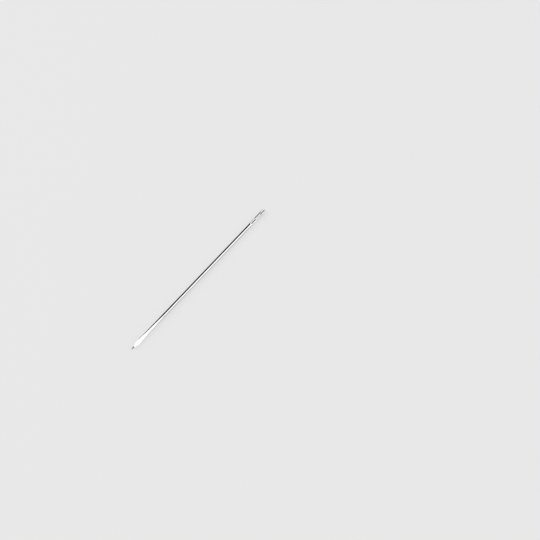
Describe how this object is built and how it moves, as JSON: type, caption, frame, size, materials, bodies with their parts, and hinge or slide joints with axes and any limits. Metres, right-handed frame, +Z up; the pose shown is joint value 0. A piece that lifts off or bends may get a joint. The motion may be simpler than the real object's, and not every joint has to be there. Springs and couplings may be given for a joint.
{
  "type": "hand sewing needle",
  "caption": "Slender hand sewing needle for leather: a faceted cutting point, a round polished shank and a flattened head with a long eye between thread gutters.",
  "frame": {"origin": "half way along the needle, on the surface that it lies on, below its axis", "axes": "+X along the needle's axis, towards the head; +Z up from the surface that it lies on; the eye's axis is tilted 23 degrees from +Z towards -Y"},
  "size_m": [0.055, 0.0011, 0.001],
  "materials": {
    "polished_nickel": "nickel plate over hardened steel, polished along the shank and ground across the blade"
  },
  "bodies": {
    "root": {"needle": "polished_nickel"}
  },
  "joints": []
}
